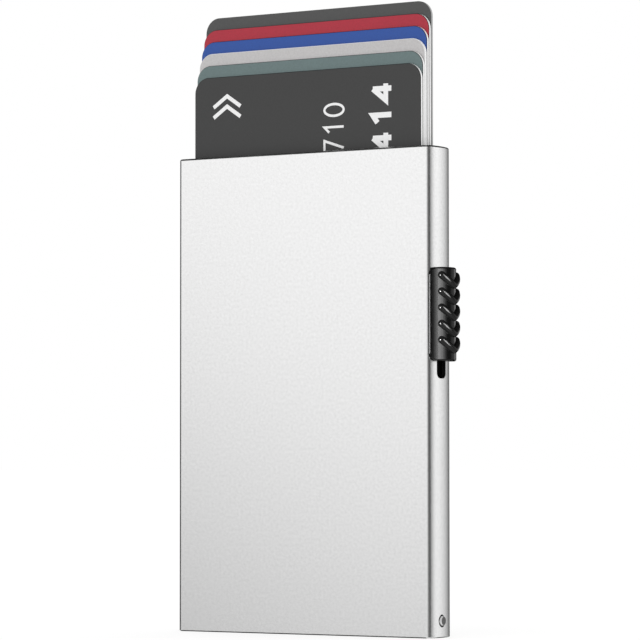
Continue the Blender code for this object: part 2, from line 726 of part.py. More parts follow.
def make_felts(felt):
    """Felt pads on the inside of both faces, which keep the cards from rattling."""
    outer = INNER_HALF_DEPTH - SEAT_GAP
    for name, sign in (("front_felt", -1), ("rear_felt", 1)):
        low_y, high_y = sorted((sign * (outer - FELT_THICKNESS), sign * outer))
        built = box(
            name,
            (-FELT_WIDTH / 2, low_y, FELT_BOTTOM_HEIGHT),
            (FELT_WIDTH / 2, high_y, RAIL_TOP),
        )
        node(name, built, felt)


def make_rails(plastic):
    """Edge rails that guide the cards: a long one on the left, a short one above the push bar."""
    half_depth = STACK_HALF_DEPTH
    outline = side_arc(WALL + SEAT_GAP, half_depth) + [
        (STRIP_INSIDE, half_depth),
        (STRIP_INSIDE, -half_depth),
    ]
    left_low = BLOCK_TOP + RUNNING_GAP
    right_low = STRIP_TOP + SLIDER_TRAVEL + RUNNING_GAP
    mirrored = [(-x, y) for x, y in outline]
    left = prism("left_guide_rail", mirrored, left_low, RAIL_TOP, "Z")
    right = prism("right_guide_rail", outline, right_low, RAIL_TOP, "Z")
    node("left_guide_rail", left, plastic)
    node("right_guide_rail", right, plastic)


def make_cards(finishes):
    """The six cards, front to rear, each raised by its own lift."""
    outline = rounded_rectangle(
        -CARD_WIDTH / 2, 0, CARD_WIDTH / 2, CARD_HEIGHT, CARD_CORNER_RADIUS
    )
    for index, (lift, finish) in enumerate(zip(CARD_LIFTS, finishes)):
        name = f"card_{index + 1}"
        built = prism(name, outline, 0, CARD_THICKNESS, "Y")
        front = -STACK_HALF_DEPTH + index * CARD_PITCH
        node(name, built, finish, location=(0, front, CARD_BOTTOM_CLOSED + lift))


def main():
    clear_scene()
    metal = material("bead_blasted_aluminium", (0.62, 0.62, 0.62), 0.42, 1.0)
    steel = material("bright_steel", (0.55, 0.55, 0.55), 0.3, 1.0)
    black_plastic = material("black_plastic", (0.012, 0.012, 0.012), 0.38)
    grey_plastic = material("grey_plastic", (0.05, 0.05, 0.05), 0.5)
    felt = material("dark_felt", (0.03, 0.03, 0.03), 0.95)
    card_colours = [
        ("card_charcoal", (0.065, 0.065, 0.065)),
        ("card_slate", (0.156, 0.202, 0.202)),
        ("card_pale_grey", (0.515, 0.497, 0.497)),
        ("card_blue", (0.045, 0.098, 0.376)),
        ("card_red", (0.402, 0.04, 0.055)),
        ("card_dark_grey", (0.085, 0.087, 0.082)),
    ]
    card_finishes = [material(name, colour, 0.35) for name, colour in card_colours]

    make_housing(metal)
    make_base_plug(grey_plastic)
    make_pins(steel)
    make_fan_lever(grey_plastic)

    carriage = bpy.data.objects.new("slider_carriage", None)
    bpy.context.scene.collection.objects.link(carriage)
    carriage.location = (0, 0, SLIDER_TRAVEL)
    make_push_bar(steel, carriage)
    make_drive_pin(steel, carriage)
    make_slider_screws(steel, carriage)
    make_slider_button(black_plastic, carriage)

    make_felts(felt)
    make_rails(black_plastic)
    make_cards(card_finishes)

    print("holder", HOLDER_WIDTH, HOLDER_DEPTH, HOLDER_HEIGHT)
    print("pivot", PIVOT_X, PIVOT_Z, "swing in degrees", LEVER_SWING / DEGREE)
    for index, lift in enumerate(CARD_LIFTS):
        print("card", index + 1, "lift", lift, "per travel", lift / SLIDER_TRAVEL)
    print("lever radians per metre", LEVER_SWING / SLIDER_TRAVEL)


main()
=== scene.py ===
"""Looks for the pop-up card holder: smooth metal, card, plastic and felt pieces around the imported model.

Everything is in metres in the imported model's frame: +Z up, the front face along -Y, the slider on +X.
Each detailed piece is made at rest, rides on its body and stands for the node that it replaces.
"""

import math

import bmesh
import bpy
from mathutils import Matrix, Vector


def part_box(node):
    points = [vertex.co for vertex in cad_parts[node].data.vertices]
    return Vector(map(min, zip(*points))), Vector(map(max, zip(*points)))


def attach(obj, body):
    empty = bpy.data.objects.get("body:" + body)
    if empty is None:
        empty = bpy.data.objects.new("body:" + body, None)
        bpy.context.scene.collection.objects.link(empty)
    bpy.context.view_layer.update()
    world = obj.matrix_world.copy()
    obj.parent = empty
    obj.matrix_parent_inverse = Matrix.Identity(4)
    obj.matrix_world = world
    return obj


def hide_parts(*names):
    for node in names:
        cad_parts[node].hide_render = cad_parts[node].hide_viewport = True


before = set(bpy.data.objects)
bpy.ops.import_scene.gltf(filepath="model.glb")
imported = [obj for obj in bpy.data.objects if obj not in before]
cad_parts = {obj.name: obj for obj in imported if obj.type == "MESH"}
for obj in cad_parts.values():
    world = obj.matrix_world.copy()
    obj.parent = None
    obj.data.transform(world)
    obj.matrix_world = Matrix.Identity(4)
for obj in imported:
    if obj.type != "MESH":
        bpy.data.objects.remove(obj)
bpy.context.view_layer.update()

MM = 0.001
TURN = 2 * math.pi
QUARTER = math.pi / 2
DEGREE = math.pi / 180

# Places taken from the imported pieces
HOUSING_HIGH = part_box("housing")[1]
HALF_WIDTH = HOUSING_HIGH.x
HALF_DEPTH = HOUSING_HIGH.y
HEIGHT = HOUSING_HIGH.z
BUTTON_LOW, BUTTON_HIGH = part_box("slider_button")

# Housing sizes, with the corners and edges as the photograph shows them
WALL = 0.85 * MM
CORNER_RADIUS = 0.8 * MM
INNER_CORNER_RADIUS = 0.25 * MM
SIDE_BULGE = 0.42 * MM
RIM_ROUND = 0.4 * MM
BASE_ROUND = 0.22 * MM
MOUTH_CHAMFER = 0.3 * MM
SLOT_HALF_WIDTH = 1.7 * MM
SLOT_CORNER_RADIUS = 1.05 * MM
SLOT_BELOW_BUTTON = 3.3 * MM
SLOT_LENGTH = 19.8 * MM
SLOT_LOW = BUTTON_LOW.z - SLOT_BELOW_BUTTON
SLOT_HIGH = SLOT_LOW + SLOT_LENGTH
PIN_HOLE_HEIGHT = 3.3 * MM
PIN_HOLE_RADIUS = 1.2 * MM
CUT_EDGE = 0.07 * MM

# Side pin sizes
PIN_RADIUS = 0.95 * MM
PIN_FOOT_RADIUS = 0.9 * PIN_RADIUS
PIN_FOOT_LENGTH = 0.1 * MM
PIN_NOSE_RADIUS = 0.83 * MM
PIN_NOSE_LENGTH = 0.33 * MM
PIN_EDGE = 0.02 * MM
PIN_CENTRE_RADIUS = 0.02 * MM
PIN_RISE = 0.25 * MM

# How far cutters reach past what they cut, and how far they reach inside the walls
OVERRUN = 1 * MM
INNER_OVERRUN = 2 * MM

# A ring of faces this wide beside a round keeps the flat wall's shading flat
SUPPORT = 0.03 * MM

# Points closer than this are one point
SAME_POINT = 0.001 * MM

# Steps of round shapes
CORNER_STEPS = 16
SIDE_STEPS = 45
EDGE_STEPS = 5
ROUND_STEPS = 48
SLOT_CORNER_STEPS = 24
PIN_STEPS = 64

# Edges sharper than these angles stay sharp in the shading
SHARP_ANGLE = 35 * DEGREE
HOUSING_SHARP_ANGLE = 32 * DEGREE
SLIDER_SHARP_ANGLE = 38 * DEGREE
CARD_SHARP_ANGLE = 30 * DEGREE
FELT_SHARP_ANGLE = 60 * DEGREE

# The side wall's outside is one arc through the corners, round a point on the X axis
SIDE_HALF = HALF_WIDTH - CORNER_RADIUS
CORNER_X = SIDE_HALF - SIDE_BULGE
CORNER_Y = HALF_DEPTH - CORNER_RADIUS
SIDE_X = (SIDE_HALF**2 - CORNER_X**2 - CORNER_Y**2) / (2 * SIDE_BULGE)
SIDE_RADIUS = HALF_WIDTH - SIDE_X


# Mesh helpers


def link(obj):
    bpy.context.scene.collection.objects.link(obj)
    return obj


def smooth(obj, angle):
    """Smooth shading, except over edges sharper than the angle."""
    obj.data.shade_smooth()
    obj.data.set_sharp_from_angle(angle=angle)
    return obj


def mesh_object(name, build, finishes, angle=SHARP_ANGLE):
    """An object from a bmesh, its faces turned outwards and shaded smooth."""
    bmesh.ops.recalc_face_normals(build, faces=build.faces)
    mesh = bpy.data.meshes.new(name)
    for finish in finishes:
        mesh.materials.append(finish)
    build.to_mesh(mesh)
    build.free()
    return link(smooth(bpy.data.objects.new(name, mesh), angle))


def add_loft(build, rings, around=False, indices=None):
    """Faces through rings of equal counts. around joins the last ring to the first."""
    rows = [[build.verts.new(point) for point in ring] for ring in rings]
    pairs = list(zip(rows, rows[1:]))
    if around:
        pairs.append((rows[-1], rows[0]))
    for index, (low, high) in enumerate(pairs):
        for step in range(len(low)):
            after = (step + 1) % len(low)
            face = build.faces.new((low[step], low[after], high[after], high[step]))
            face.material_index = indices[index] if indices else 0
    if not around:
        build.faces.new(list(reversed(rows[0])))
        build.faces.new(rows[-1])


def loft(name, rings, finishes, around=False, indices=None):
    build = bmesh.new()
    add_loft(build, rings, around=around, indices=indices)
    return mesh_object(name, build, finishes)


def arc(centre, radius, start, end, steps):
    return [
        (
            centre[0] + radius * math.cos(start + (end - start) * step / steps),
            centre[1] + radius * math.sin(start + (end - start) * step / steps),
        )
        for step in range(steps + 1)
    ]


def circle(centre, radius, steps=ROUND_STEPS):
    return arc(centre, radius, 0, TURN, steps)[:-1]


def rounded_rectangle(left, low, right, high, radius, steps):
    points = []
    for x, y, start in (
        (right - radius, low + radius, -QUARTER),
        (right - radius, high - radius, 0),
        (left + radius, high - radius, QUARTER),
        (left + radius, low + radius, 2 * QUARTER),
    ):
        points += arc((x, y), radius, start, start + QUARTER, steps)
    return [
        point for point, after in zip(points, points[1:] + points[:1])
        if math.dist(point, after) > SAME_POINT
    ]


def quarter_round(reach, steps):
    """A rounded edge from the end face to the wall, as distances from the end and insets."""
    turns = [QUARTER * step / steps for step in range(steps + 1)]
    return [(reach * (1 - math.cos(turn)), reach * (1 - math.sin(turn))) for turn in turns]


def along_x(outline, x):
    return [(x, y, z) for y, z in outline]


def along_y(outline, y):
    return [(x, y, z) for x, z in outline]


def along_z(outline, z):
    return [(x, y, z) for x, y in outline]


def prism_x(name, outline, start, end, finish):
    return loft(name, [along_x(outline, start), along_x(outline, end)], [finish])


def settle(target):
    """Make the modifiers' result the object's own mesh."""
    graph = bpy.context.evaluated_depsgraph_get()
    mesh = bpy.data.meshes.new_from_object(target.evaluated_get(graph))
    target.modifiers.clear()
    target.data = mesh


def cut(target, other, operation="DIFFERENCE"):
    """Apply one exact Boolean and remove the other object."""
    modifier = target.modifiers.new("cut", "BOOLEAN")
    modifier.operation = operation
    modifier.solver = "EXACT"
    modifier.material_mode = "TRANSFER"
    modifier.object = other
    settle(target)
    bpy.data.objects.remove(other, do_unlink=True)


def dress(piece, body, node):
    """Give a piece its body and the node that it stands for."""
    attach(piece, body)
    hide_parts(node)


# Node helpers


def grey(value):
    return (value, value, value)


def scaled(colour, factor):
    return tuple(min(1.0, channel * factor) for channel in colour)


def math_node(tree, operation, *values):
    node = tree.nodes.new("ShaderNodeMath")
    node.operation = operation
    for index, value in enumerate(values):
        if isinstance(value, (int, float)):
            node.inputs[index].default_value = value
        else:
            tree.links.new(value, node.inputs[index])
    return node.outputs[0]


def span_node(tree, source, start, end, low=0.0, high=1.0):
    """The source's span from start to end, brought to low to high."""
    span = tree.nodes.new("ShaderNodeMapRange")
    span.inputs["From Min"].default_value = start
    span.inputs["From Max"].default_value = end
    span.inputs["To Min"].default_value = low
    span.inputs["To Max"].default_value = high
    tree.links.new(source, span.inputs["Value"])
    return span.outputs["Result"]


def ramp_node(tree, source, stops):
    """A colour for each value of the source, straight from stop to stop."""
    ramp = tree.nodes.new("ShaderNodeValToRGB")
    elements = ramp.color_ramp.elements
    while len(elements) < len(stops):
        elements.new(0.5)
    for element, (position, colour) in zip(elements, stops):
        element.position = position
        element.color = (*colour, 1.0)
    tree.links.new(source, ramp.inputs["Fac"])
    return ramp.outputs["Color"]


def curve_node(tree, source, points):
    """Straight pieces through points of source and value."""
    start, end = points[0][0], points[-1][0]
    top = max(value for _, value in points)
    stops = [((place - start) / (end - start), grey(value / top)) for place, value in points]
    share = ramp_node(tree, span_node(tree, source, start, end), stops)
    return math_node(tree, "MULTIPLY", share, top)


def mix_shader(tree, share, first, second):
    mix = tree.nodes.new("ShaderNodeMixShader")
    for socket, source in zip(mix.inputs, (share, first, second)):
        tree.links.new(source, socket)
    return mix.outputs[0]


def white_background(tree, strength=None):
    """A white background shader, its strength 1 or taken from a source."""
    node = tree.nodes.new("ShaderNodeBackground")
    node.inputs["Color"].default_value = (1, 1, 1, 1)
    if strength:
        tree.links.new(strength, node.inputs["Strength"])
    return node.outputs[0]


# Materials

# Nearly all of a noise texture's values lie between these two
NOISE_LOW = 0.3
NOISE_HIGH = 0.7


class Nodes:
    """A material's node tree with short calls for its nodes."""

    def __init__(self, name, roughness, metallic=0.0, ior=1.5):
        self.material = bpy.data.materials.new(name)
        self.material.use_nodes = True
        self.tree = self.material.node_tree
        self.shader = self.tree.nodes["Principled BSDF"]
        self.shader.inputs["Roughness"].default_value = roughness
        self.shader.inputs["Metallic"].default_value = metallic
        self.shader.inputs["IOR"].default_value = ior
        self.place = self.tree.nodes.new("ShaderNodeTexCoord").outputs["Object"]

    def noise(self, size, detail, stretch=(1, 1, 1)):
        """Noise whose features are about this size, in metres."""
        mapping = self.tree.nodes.new("ShaderNodeMapping")
        mapping.inputs["Scale"].default_value = stretch
        self.tree.links.new(self.place, mapping.inputs["Vector"])
        noise = self.tree.nodes.new("ShaderNodeTexNoise")
        noise.inputs["Scale"].default_value = 1 / size
        noise.inputs["Detail"].default_value = detail
        self.tree.links.new(mapping.outputs["Vector"], noise.inputs["Vector"])
        return noise.outputs["Fac"]

    def colour(self, source, low, high):
        """Base colour between two tones by a noise."""
        tone = ramp_node(self.tree, source, [(NOISE_LOW, low), (NOISE_HIGH, high)])
        self.tree.links.new(tone, self.shader.inputs["Base Color"])

    def roughness(self, source, low, high):
        """Roughness between two values by a noise."""
        value = span_node(self.tree, source, NOISE_LOW, NOISE_HIGH, low, high)
        self.tree.links.new(value, self.shader.inputs["Roughness"])

    def bump(self, source, depth, strength, after=None):
        """Bumps of this depth, added to those of the bump node before."""
        bump = self.tree.nodes.new("ShaderNodeBump")
        bump.inputs["Strength"].default_value = strength
        bump.inputs["Distance"].default_value = depth
        self.tree.links.new(source, bump.inputs["Height"])
        if after:
            self.tree.links.new(after, bump.inputs["Normal"])
        self.tree.links.new(bump.outputs["Normal"], self.shader.inputs["Normal"])
        return bump.outputs["Normal"]


def blasted_aluminium():
    finish = Nodes("blasted_aluminium", roughness=0.26, metallic=1.0)
    fine = finish.noise(0.22 * MM, detail=3.0)
    coarse = finish.noise(0.6 * MM, detail=4.0)
    finish.colour(coarse, low=grey(0.9), high=grey(0.97))
    finish.roughness(fine, low=0.17, high=0.23)
    first = finish.bump(fine, depth=0.004 * MM, strength=0.7)
    finish.bump(coarse, depth=0.006 * MM, strength=0.5, after=first)
    return finish.material


def polished_aluminium():
    finish = Nodes("polished_aluminium", roughness=0.16, metallic=1.0)
    fine = finish.noise(0.5 * MM, detail=3.0)
    finish.colour(fine, low=grey(0.88), high=grey(0.93))
    finish.roughness(fine, low=0.14, high=0.19)
    return finish.material


def turned_steel(name, tone=0.55, roughness=0.28, metallic=1.0):
    finish = Nodes(name, roughness=roughness, metallic=metallic)
    lines = finish.noise(0.12 * MM, detail=3.0)
    finish.colour(lines, low=grey(tone * 0.9), high=grey(tone * 1.08))
    finish.roughness(lines, low=roughness - 0.04, high=roughness + 0.06)
    finish.bump(lines, depth=0.003 * MM, strength=0.5)
    return finish.material


def black_steel():
    finish = Nodes("black_steel", roughness=0.55)
    grain = finish.noise(0.25 * MM, detail=3.0)
    # The push bar's black finish, made darker still as painted shade for the view into the slot
    finish.colour(grain, low=grey(0.003), high=grey(0.006))
    finish.roughness(grain, low=0.5, high=0.6)
    finish.bump(grain, depth=0.003 * MM, strength=0.5)
    return finish.material


def moulded_plastic(name, tone, roughness, grain_depth, ior=1.5):
    finish = Nodes(name, roughness=roughness, ior=ior)
    grain = finish.noise(0.18 * MM, detail=3.0)
    cloud = finish.noise(2.5 * MM, detail=2.0)
    finish.colour(cloud, low=grey(tone * 0.85), high=grey(tone * 1.15))
    finish.roughness(grain, low=roughness - 0.03, high=roughness + 0.04)
    finish.bump(grain, depth=grain_depth, strength=0.5)
    return finish.material


def felt_material():
    finish = Nodes("felt", roughness=0.95)
    fibre = finish.noise(0.12 * MM, detail=5.0, stretch=(1, 1, 0.35))
    finish.colour(fibre, low=grey(0.012), high=grey(0.05))
    finish.bump(fibre, depth=0.08 * MM, strength=0.9)
    finish.shader.inputs["Sheen Weight"].default_value = 0.35
    finish.shader.inputs["Sheen Roughness"].default_value = 0.5
    return finish.material


def card_print(name, colour):
    finish = Nodes(name, roughness=0.42)
    grain = finish.noise(0.35 * MM, detail=4.0)
    finish.colour(grain, low=scaled(colour, 0.94), high=scaled(colour, 1.06))
    finish.roughness(grain, low=0.4, high=0.46)
    finish.bump(grain, depth=0.002 * MM, strength=0.3)
    return finish.material


def card_edge(name, tone):
    finish = Nodes(name, roughness=0.5)
    grain = finish.noise(0.2 * MM, detail=3.0)
    finish.colour(grain, low=grey(tone * 0.96), high=grey(tone))
    finish.bump(grain, depth=0.002 * MM, strength=0.4)
    return finish.material


def card_ink(name, tone):
    finish = Nodes(name, roughness=0.35)
    grain = finish.noise(0.3 * MM, detail=2.0)
    finish.colour(grain, low=grey(tone * 0.96), high=grey(tone))
    finish.roughness(grain, low=0.32, high=0.38)
    return finish.material


ALUMINIUM = blasted_aluminium()
POLISHED = polished_aluminium()
STEEL = turned_steel("turned_steel")
# Dark steel for the pins' ends, also laid on the slot's walls as painted shade
DARK_STEEL_AND_SLOT_SHADE = turned_steel("dark_steel_and_slot_shade", tone=0.16, roughness=0.35)
SATIN_STEEL = turned_steel("satin_steel", tone=0.85, roughness=0.4, metallic=0.25)
BLACK_STEEL_AND_SLOT_SHADE = black_steel()
SLIDER_PLASTIC = moulded_plastic("slider_plastic", 0.002, 0.17, 0.0012 * MM, ior=1.25)
BLACK_PLASTIC = moulded_plastic("black_plastic", 0.018, 0.5, 0.003 * MM)
GREY_PLASTIC = moulded_plastic("grey_plastic", 0.055, 0.5, 0.003 * MM)
FELT = felt_material()
WHITE_CORE = card_edge("white_core", 0.98)
GREY_CORE = card_edge("grey_core", 0.46)
WHITE_INK = card_ink("white_ink", 0.93)
DARK_INK = card_ink("dark_ink", 0.012)


# Housing


def section(inset, radius):
    """The tube's outline seen from above, drawn in by the inset, with corners of this radius."""
    depth = HALF_DEPTH - inset
    side_radius = SIDE_RADIUS - inset
    centre_y = depth - radius
    centre_x = SIDE_X + math.sqrt((side_radius - radius) ** 2 - centre_y**2)
    turn = math.asin(centre_y / (side_radius - radius))
    front = arc((centre_x, -centre_y), radius, -QUARTER, -turn, CORNER_STEPS)
    side = arc((SIDE_X, 0), side_radius, -turn, turn, SIDE_STEPS)
    back = arc((centre_x, centre_y), radius, turn, QUARTER, CORNER_STEPS)
    right = front + side[1:-1] + back
    return right + [(-x, -y) for x, y in right]


def make_tube():
    """The tube: up its outside, over the rim and down its inside, polished to the chamfer."""
    base = quarter_round(BASE_ROUND, EDGE_STEPS)
    wall = [(BASE_ROUND + SUPPORT, 0), (HEIGHT - RIM_ROUND - SUPPORT, 0)]
    rim = [(HEIGHT - z, inset) for z, inset in reversed(quarter_round(RIM_ROUND, EDGE_STEPS))]
    inside = [
        (HEIGHT, WALL - MOUTH_CHAMFER),
        (HEIGHT - MOUTH_CHAMFER, WALL),
        (HEIGHT - MOUTH_CHAMFER - SUPPORT, WALL),
        (SUPPORT, WALL),
        (0, WALL),
    ]
    rings = [along_z(section(inset, CORNER_RADIUS - inset), z) for z, inset in base + wall + rim]
    rings += [along_z(section(inset, INNER_CORNER_RADIUS), z) for z, inset in inside]
    blasted, polished = 0, 1
    base_bands = [polished] * len(base)
    rim_bands = [polished] * (len(rim) + 2)
    inner_bands = [blasted] * (len(inside) - 1)
    bands = base_bands + [blasted] + rim_bands + inner_bands
    return loft("housing_shell", rings, [ALUMINIUM, POLISHED], around=True, indices=bands)


def side_cutter(name, outline, finishes, indices=None, sign=1):
    """A cutter through a side wall, whose outline grows by the bevel at the wall's surface."""
    profile = [
        (HALF_WIDTH - WALL - INNER_OVERRUN, 0),
        (HALF_WIDTH - CUT_EDGE, 0),
        (HALF_WIDTH, CUT_EDGE),
        (HALF_WIDTH + OVERRUN, CUT_EDGE + OVERRUN),
    ]
    rings = [along_x(outline(grow), sign * x) for x, grow in profile]
    return loft(name, rings, finishes, indices=indices)


def slot_outline(grow):
    half = SLOT_HALF_WIDTH + grow
    low, high = SLOT_LOW - grow, SLOT_HIGH + grow
    return rounded_rectangle(-half, low, half, high, SLOT_CORNER_RADIUS + grow, SLOT_CORNER_STEPS)


def pin_hole_outline(grow):
    return circle((0, PIN_HOLE_HEIGHT), PIN_HOLE_RADIUS + grow, PIN_STEPS)


def make_housing():
    """The tube with its slot, whose walls are painted dark as shade in the slot, and its two pin holes."""
    housing = make_tube()
    # The slot's walls take the dark steel: painted shade inside the slot
    cut(housing, side_cutter("slot", slot_outline, [DARK_STEEL_AND_SLOT_SHADE, POLISHED], indices=[0, 1, 1]))
    for sign in (1, -1):
        cut(housing, side_cutter("pin_hole", pin_hole_outline, [POLISHED], sign=sign))
    smooth(housing, HOUSING_SHARP_ANGLE)
    dress(housing, "case", "housing")


def make_side_pins():
    """The two plug pins: bright round the nose, dark on the end."""
    turned = [POLISHED, SATIN_STEEL, DARK_STEEL_AND_SLOT_SHADE]
    for name, sign in (("side_pin_right", 1), ("side_pin_left", -1)):
        low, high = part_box(name)
        start = min(abs(low.x), abs(high.x))
        end = max(abs(low.x), abs(high.x)) + PIN_RISE
        centre = (0, (low.z + high.z) / 2)
        profile = [
            (start, PIN_FOOT_RADIUS),
            (start + PIN_FOOT_LENGTH, PIN_RADIUS),
            (end - PIN_EDGE - PIN_NOSE_LENGTH, PIN_RADIUS),
            (end - PIN_EDGE, PIN_NOSE_RADIUS),
            (end, PIN_NOSE_RADIUS - PIN_EDGE),
            (end, PIN_CENTRE_RADIUS),
        ]
        rings = [along_x(circle(centre, radius, PIN_STEPS), sign * x) for x, radius in profile]
        pin = loft(f"{name}_turned", rings, turned, indices=[0, 0, 1, 1, 2])
        dress(pin, "case", name)


# Slider

# The cover is a round bar that stands on the flange. Its round ends lie at the button's ends.
COVER_LOW = BUTTON_LOW.z
COVER_HIGH = BUTTON_HIGH.z
COVER_RADIUS = 3.9 * MM
COVER_RISE = 2.73 * MM
COVER_X = HALF_WIDTH + COVER_RISE - COVER_RADIUS
COVER_END_ROUND = 0.4 * MM
COVER_LIFT_OFF = 0.2 * MM
COVER_STEPS = 128
COVER_END_STEPS = 8
UNDERSIDE_RADIUS = SIDE_RADIUS + COVER_LIFT_OFF
UNDERSIDE_STEPS = 360

FLANGE_WIDTH = 8.2 * MM
FLANGE_THICKNESS = 0.3 * MM
FLANGE_CORNER = 1.8 * MM
FLANGE_CORNER_STEPS = 20
FLANGE_EDGE = 0.06 * MM
FLANGE_EDGE_STEPS = 4
FLANGE_EDGE_ANGLE = 50 * DEGREE

# The prisms that give the cover and the flange their corners reach between these two places
CORNERS_START = HALF_WIDTH - 3 * MM
CORNERS_END = HALF_WIDTH + 2 * COVER_RISE

NECK_LENGTH = 5.2 * MM
NECK_SIDE_GAP = 0.3 * MM
NECK_CORNER = 1.1 * MM
NECK_CORNER_STEPS = 12
NECK_START = BUTTON_LOW.x
NECK_END = HALF_WIDTH + COVER_RISE / 2
COVER_BELOW_NECK = 11.0 * MM
SCREW_BORE_RADIUS = 0.55 * MM
SCREW_BORE_DEPTH = 1.6 * MM

# A rib's point is sharper for a smaller RIB_POINT, and RIB_BEND softens the turn of its tube there
RIB_COUNT = 5
RIB_PITCH = 3.17 * MM
RIB_RADIUS = 0.75 * MM
RIB_PROUD = 0.78 * MM
RIB_DROP = 1.9 * MM
RIB_TOP_MARGIN = 1.6 * MM
RIB_HALF_ANGLE = 44 * DEGREE
RIB_POINT = 0.12
RIB_BEND = 0.35
RIB_STEPS = 40
RIB_SIDES = 28
RIB_CAP_STEPS = 8
RIB_CAP_SHARE = 0.985
RIB_CENTRE = COVER_RADIUS + RIB_PROUD - RIB_RADIUS


def make_cover():
    """The slider's round cover, its ends rounded."""
    end = quarter_round(COVER_END_ROUND, COVER_END_STEPS) + [(COVER_END_ROUND + SUPPORT, 0)]
    profile = [(COVER_LOW + z, inset) for z, inset in end]
    profile += [(COVER_HIGH - z, inset) for z, inset in reversed(end)]
    centre = (COVER_X, 0)
    rings = [
        along_z(circle(centre, COVER_RADIUS - inset, COVER_STEPS), z) for z, inset in profile
    ]
    return loft("slider_cover", rings, [SLIDER_PLASTIC])


def side_shell(name, radius):
    """A solid with the side wall's bulge that is longer than the slider."""
    outline = circle((SIDE_X, 0), radius, UNDERSIDE_STEPS)
    heights = (COVER_LOW - OVERRUN, COVER_HIGH + OVERRUN)
    return loft(name, [along_z(outline, z) for z in heights], [SLIDER_PLASTIC])


def make_flange(outline):
    """The plate under the cover, which follows the side wall's bulge."""
    flange = prism_x("flange", outline, CORNERS_START, CORNERS_END, SLIDER_PLASTIC)
    cut(flange, side_shell("flange_limit", UNDERSIDE_RADIUS + FLANGE_THICKNESS), "INTERSECT")
    bevel = flange.modifiers.new("edge", "BEVEL")
    bevel.width = FLANGE_EDGE
    bevel.segments = FLANGE_EDGE_STEPS
    bevel.limit_method = "ANGLE"
    bevel.angle_limit = FLANGE_EDGE_ANGLE
    settle(flange)
    return flange


def make_neck():
    """The neck that reaches through the slot to the push bar."""
    half = SLOT_HALF_WIDTH - NECK_SIDE_GAP
    low = COVER_LOW + COVER_BELOW_NECK
    outline = rounded_rectangle(-half, low, half, low + NECK_LENGTH, NECK_CORNER, NECK_CORNER_STEPS)
    return prism_x("neck", outline, NECK_START, NECK_END, SLIDER_PLASTIC)


def make_slider():
    """The thumb slider without its ribs: cover, flange and neck in one piece."""
    slider = make_cover()
    half = FLANGE_WIDTH / 2
    outline = rounded_rectangle(
        -half, COVER_LOW, half, COVER_HIGH, FLANGE_CORNER, FLANGE_CORNER_STEPS
    )
    corners = prism_x("corners", outline, CORNERS_START, CORNERS_END, SLIDER_PLASTIC)
    cut(slider, corners, "INTERSECT")
    cut(slider, make_flange(outline), "UNION")
    cut(slider, side_shell("underside", UNDERSIDE_RADIUS))
    cut(slider, make_neck(), "UNION")
    for name in ("slider_screw_upper", "slider_screw_lower"):
        low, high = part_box(name)
        outline = circle((0, (low.z + high.z) / 2), SCREW_BORE_RADIUS)
        start, end = NECK_START - OVERRUN, NECK_START + SCREW_BORE_DEPTH
        cut(slider, prism_x("bore", outline, start, end, SLIDER_PLASTIC))
    smooth(slider, SLIDER_SHARP_ANGLE)
    dress(slider, "slider", "slider_button")
    return slider


def rib_path(tip_height):
    """A V-shaped rib's middle line, its point down: angle, height, slope and radius."""
    flat = math.hypot(1, RIB_POINT) - RIB_POINT
    path = []
    for step in range(RIB_STEPS + 1):
        share = 2 * step / RIB_STEPS - 1
        rise = (math.hypot(share, RIB_POINT) - RIB_POINT) / flat
        height = tip_height - RIB_DROP * (1 - rise)
        steepness = share / math.hypot(share, RIB_BEND)
        slope = math.atan2(RIB_DROP * steepness, RIB_CENTRE * RIB_HALF_ANGLE)
        path.append((RIB_HALF_ANGLE * share, height, slope, RIB_RADIUS))
    return path


def rib_cap(end, sign):
    """A rib's round end, going on from the end of its path."""
    angle, height, slope, radius = end
    cap = []
    for step in range(1, RIB_CAP_STEPS + 1):
        turn = QUARTER * RIB_CAP_SHARE * step / RIB_CAP_STEPS
        reach = sign * radius * math.sin(turn)
        swing = angle + reach * math.cos(slope) / RIB_CENTRE
        cap.append((swing, height + reach * math.sin(slope), slope, radius * math.cos(turn)))
    return cap


def rib_ring(angle, height, slope, radius):
    """The tube's ring at one place of a rib's path."""
    ring = []
    for side in range(RIB_SIDES):
        turn = TURN * side / RIB_SIDES
        up = radius * math.sin(turn)
        swing = angle - up * math.sin(slope) / RIB_CENTRE
        reach = RIB_CENTRE + radius * math.cos(turn)
        x, y = COVER_X + reach * math.cos(swing), reach * math.sin(swing)
        ring.append((x, y, height + up * math.cos(slope)))
    return ring


def make_ribs(slider):
    """The thumb ribs, cut to stand on the slider's cover."""
    build = bmesh.new()
    for index in range(RIB_COUNT):
        path = rib_path(COVER_HIGH - RIB_TOP_MARGIN - index * RIB_PITCH)
        path = rib_cap(path[0], -1)[::-1] + path + rib_cap(path[-1], 1)
        add_loft(build, [rib_ring(*place) for place in path])
    ribs = mesh_object("slider_ribs", build, [SLIDER_PLASTIC])
    cut(ribs, link(bpy.data.objects.new("cover_copy", slider.data.copy())))
    smooth(ribs, SLIDER_SHARP_ANGLE)
    dress(ribs, "slider", "slider_button")
    return ribs


# Cards

CARD_RADIUS = 3.18 * MM
CARD_CORNER_STEPS = 20
CARD_EDGE = 0.1 * MM
INK_RISE = 0.015 * MM
INK_LAYER = 0.004 * MM

